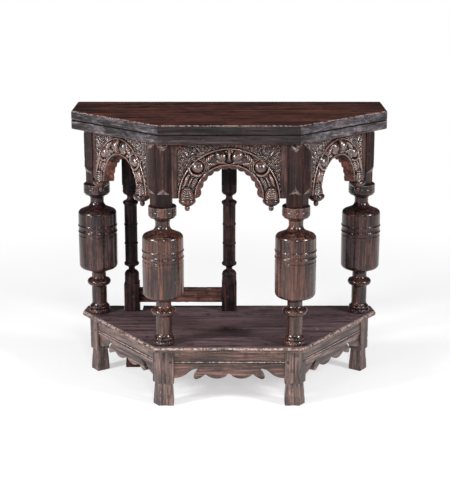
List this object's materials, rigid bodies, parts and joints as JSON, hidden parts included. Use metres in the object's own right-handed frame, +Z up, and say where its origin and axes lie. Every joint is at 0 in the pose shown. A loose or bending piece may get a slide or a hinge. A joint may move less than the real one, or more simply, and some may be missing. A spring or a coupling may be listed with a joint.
{
  "type": "communion table",
  "caption": "Half-octagonal oak communion table with a folding top, bulbous turned legs, carved arcades, a low shelf and a swinging gate leg.",
  "frame": {"origin": "on the floor, at the middle of the closed table's plan", "axes": "+Z up; X along the straight back edge; -Y towards the front"},
  "size_m": [0.956, 0.4844, 0.853],
  "materials": {
    "oak_top": "waxed dark oak, soft gloss, worn arrises",
    "oak_shelf": "waxed dark oak, rubbed front edge",
    "oak_turned": "polished turned oak",
    "oak_carved": "waxed carved oak, dark in the recesses",
    "oak_base": "worn, greyer oak",
    "oak_gate": "dark waxed oak",
    "oak_peg": "dark end grain",
    "iron": "blackened wrought iron"
  },
  "bodies": {
    "frame": {"apron_front": "oak_base", "apron_left": "oak_base", "apron_right": "oak_base", "arcade_front": "oak_carved", "arcade_left": "oak_carved", "arcade_right": "oak_carved", "foot_post_front_left": "oak_base", "foot_post_front_right": "oak_base", "foot_post_outer_left": "oak_base", "foot_post_outer_right": "oak_base", "frieze_rail_rear": "oak_gate", "hinge_lower_nails": "iron", "hinge_lower_plate_left": "iron", "hinge_lower_plate_right": "iron", "hinge_pins": "iron", "jewel_front_left_cant": "oak_carved", "jewel_front_left_face": "oak_carved", "jewel_front_right_cant": "oak_carved", "jewel_front_right_face": "oak_carved", "jewel_outer_left": "oak_carved", "jewel_outer_right": "oak_carved", "leg_front_left": "oak_turned", "leg_front_right": "oak_turned", "leg_outer_left": "oak_turned", "leg_outer_right": "oak_turned", "lower_leaf_board_back": "oak_top", "lower_leaf_board_front": "oak_top", "lower_leaf_board_middle": "oak_top", "lower_leaf_dowels": "oak_peg", "lower_pivot_block": "oak_gate", "pendant_front_a": "oak_carved", "pendant_front_b": "oak_carved", "pendant_left_a": "oak_carved", "pendant_left_b": "oak_carved", "pendant_right_a": "oak_carved", "pendant_right_b": "oak_carved", "rail_front": "oak_base", "rail_left": "oak_base", "rail_pegs": "oak_peg", "rail_rear": "oak_gate", "rail_right": "oak_base", "shelf_board_back": "oak_shelf", "shelf_board_front": "oak_shelf", "shelf_board_middle": "oak_shelf", "shelf_dowels": "oak_peg", "shelf_pegs": "oak_peg", "top_pegs": "oak_peg", "upper_pivot_block": "oak_gate"},
    "upper_leaf": {"hinge_upper_nails": "iron", "hinge_upper_plate_left": "iron", "hinge_upper_plate_right": "iron", "upper_leaf_board_back": "oak_top", "upper_leaf_board_front": "oak_top", "upper_leaf_board_middle": "oak_top", "upper_leaf_dowels": "oak_peg"},
    "gate": {"gate_leg": "oak_gate", "gate_lower_rail": "oak_gate", "gate_pegs": "oak_peg", "gate_pivot_post": "oak_gate", "gate_upper_rail": "oak_gate"}
  },
  "joints": [
    {"name": "top_fold", "type": "hinge", "parent": "frame", "child": "upper_leaf", "pos_m": [0, 0.2377, 0.825], "axis": [-1, 0, 0], "range_deg": [0, 180]},
    {"name": "gate_swing", "type": "hinge", "parent": "frame", "child": "gate", "pos_m": [0, 0.1577, 0.5], "axis": [0, 0, -1], "range_deg": [0, 110]}
  ]
}
